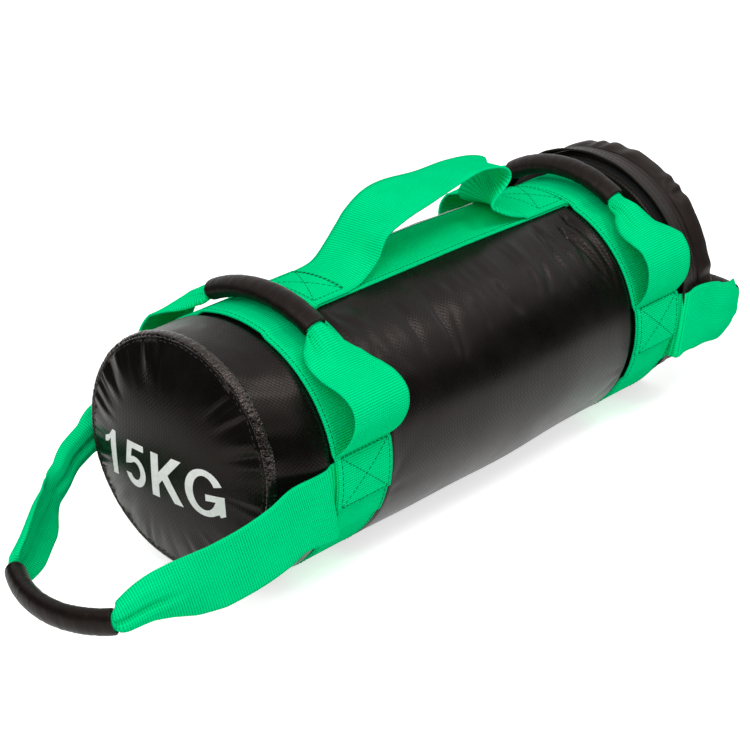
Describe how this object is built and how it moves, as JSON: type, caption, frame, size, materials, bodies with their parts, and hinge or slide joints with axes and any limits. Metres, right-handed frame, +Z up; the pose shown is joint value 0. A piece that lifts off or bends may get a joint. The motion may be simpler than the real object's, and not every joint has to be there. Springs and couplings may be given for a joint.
{
  "type": "training sandbag",
  "caption": "Stuffed PVC training sandbag with girth bands, a top carry handle, cross grips, end handles and a zipped lid.",
  "frame": {"origin": "middle of the flat underside the bag lies on, halfway between the two girth bands", "axes": "+X along the bag to its zipped lid, +Z up, the plain end disc at -X"},
  "size_m": [0.7088, 0.2144, 0.22],
  "materials": {
    "black_pvc": "satin, fine leather grain",
    "green_webbing": "ribbed weave",
    "black_rubber": "satin",
    "grey_foam": "matt",
    "liner_nylon": "matt",
    "tie_cord": "matt",
    "dry_sand": "grainy",
    "black_zip_tape": "matt",
    "black_zip_coil": "satin",
    "nickel_slider": "plated"
  },
  "bodies": {
    "bag": {"outer_skin": "black_pvc", "near_end_disc": "black_pvc", "lid_wall": "black_pvc", "lid_disc": "black_pvc", "lid_rim_binding": "black_pvc", "storm_flap": "black_pvc", "foam_jacket": "grey_foam", "inner_sand_bag": "liner_nylon", "inner_bag_tie": "tie_cord", "sand_fill": "dry_sand", "near_girth_band": "green_webbing", "far_girth_band": "green_webbing", "top_strap": "green_webbing", "top_handle_near_tail": "green_webbing", "top_handle_far_tail": "green_webbing", "near_grip_left_tail": "green_webbing", "near_grip_right_tail": "green_webbing", "far_grip_left_tail": "green_webbing", "far_grip_right_tail": "green_webbing", "near_end_handle_left_tail": "green_webbing", "near_end_handle_right_tail": "green_webbing", "far_end_handle_left_tail": "green_webbing", "far_end_handle_right_tail": "green_webbing", "zip_tape_body_side": "black_zip_tape", "zip_tape_lid_side": "black_zip_tape", "lid_fold_strip": "black_zip_tape", "zip_coil_body_side": "black_zip_coil", "zip_coil_lid_side": "black_zip_coil", "zip_stop_left": "black_zip_coil", "zip_stop_right": "black_zip_coil"},
    "top_handle": {"top_handle_webbing": "green_webbing"},
    "near_grip": {"near_grip_webbing": "green_webbing", "near_grip_sleeve": "black_rubber"},
    "far_grip": {"far_grip_webbing": "green_webbing", "far_grip_sleeve": "black_rubber"},
    "near_end_handle": {"near_end_handle_webbing": "green_webbing", "near_end_handle_sleeve": "black_rubber"},
    "far_end_handle": {"far_end_handle_webbing": "green_webbing", "far_end_handle_sleeve": "black_rubber"},
    "zip_slider": {"zip_slider": "nickel_slider"},
    "zip_pull_tab": {"zip_pull_tab": "nickel_slider"}
  },
  "joints": [
    {"name": "top_handle_swing", "type": "hinge", "parent": "bag", "child": "top_handle", "pos_m": [0, 0, 0.2028], "axis": [1, 0, 0], "range_deg": [-48, 48]},
    {"name": "near_grip_swing", "type": "hinge", "parent": "bag", "child": "near_grip", "pos_m": [-0.162, 0, 0.1304], "axis": [0, 1, 0], "range_deg": [-12, 12]},
    {"name": "far_grip_swing", "type": "hinge", "parent": "bag", "child": "far_grip", "pos_m": [0.162, 0, 0.1304], "axis": [0, 1, 0], "range_deg": [-14, 9]},
    {"name": "near_end_handle_swing", "type": "hinge", "parent": "bag", "child": "near_end_handle", "pos_m": [-0.2195, 0, 0.073], "axis": [0, 1, 0], "range_deg": [-4, 68]},
    {"name": "far_end_handle_swing", "type": "hinge", "parent": "bag", "child": "far_end_handle", "pos_m": [0.224, 0, 0.073], "axis": [0, -1, 0], "range_deg": [-9, 66]},
    {"name": "zip_slider_travel", "type": "hinge", "parent": "bag", "child": "zip_slider", "pos_m": [0.1965, 0, 0.094], "axis": [-1, 0, 0], "range_deg": [-236, 38]},
    {"name": "zip_pull_flip", "type": "hinge", "parent": "zip_slider", "child": "zip_pull_tab", "pos_m": [0.1965, 0.08675, 0.07647], "axis": [-1, 0, 0], "range_deg": [-2, 9]}
  ]
}
